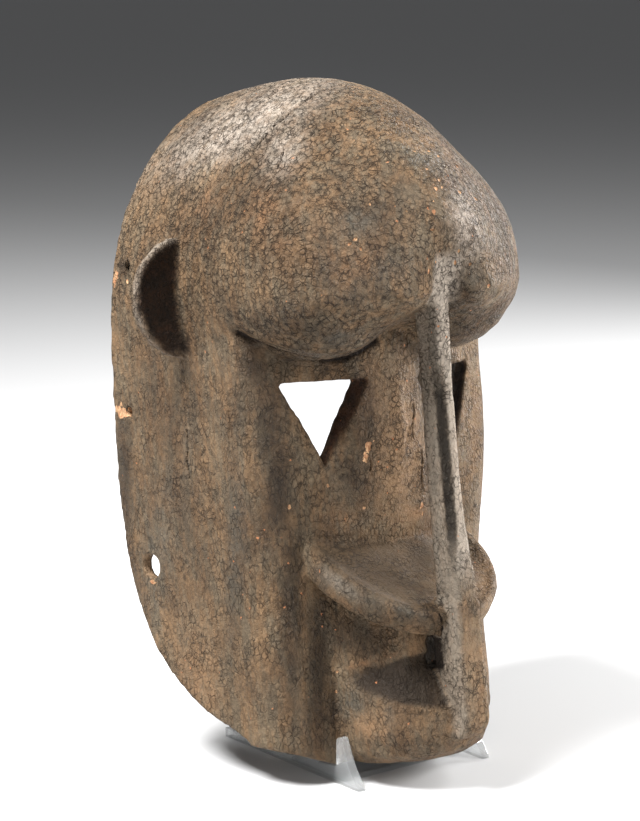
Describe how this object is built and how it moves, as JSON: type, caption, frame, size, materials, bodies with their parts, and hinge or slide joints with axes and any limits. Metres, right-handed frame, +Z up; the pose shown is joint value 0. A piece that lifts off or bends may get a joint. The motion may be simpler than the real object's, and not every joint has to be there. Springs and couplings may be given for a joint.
{
  "type": "carved wooden mask on display stand",
  "caption": "Helmet-like carved wooden monkey mask with domed brow, triangular eyes, free-standing nose bar and mouth shelf, resting on a small clear display stand",
  "frame": {"origin": "under the middle of the whole object, on the surface that the stand rests on", "axes": "+Z up, the face looks towards -Y, +X is to the right of someone who looks at the face"},
  "size_m": [0.218, 0.2048, 0.3475],
  "materials": {
    "wood": "matte, dark crusty patina with fine crackle",
    "clear": "clear, polished"
  },
  "bodies": {
    "root": {"mask": "wood", "stand_left": "clear", "stand_right": "clear", "stand_bridge": "clear"}
  },
  "joints": []
}
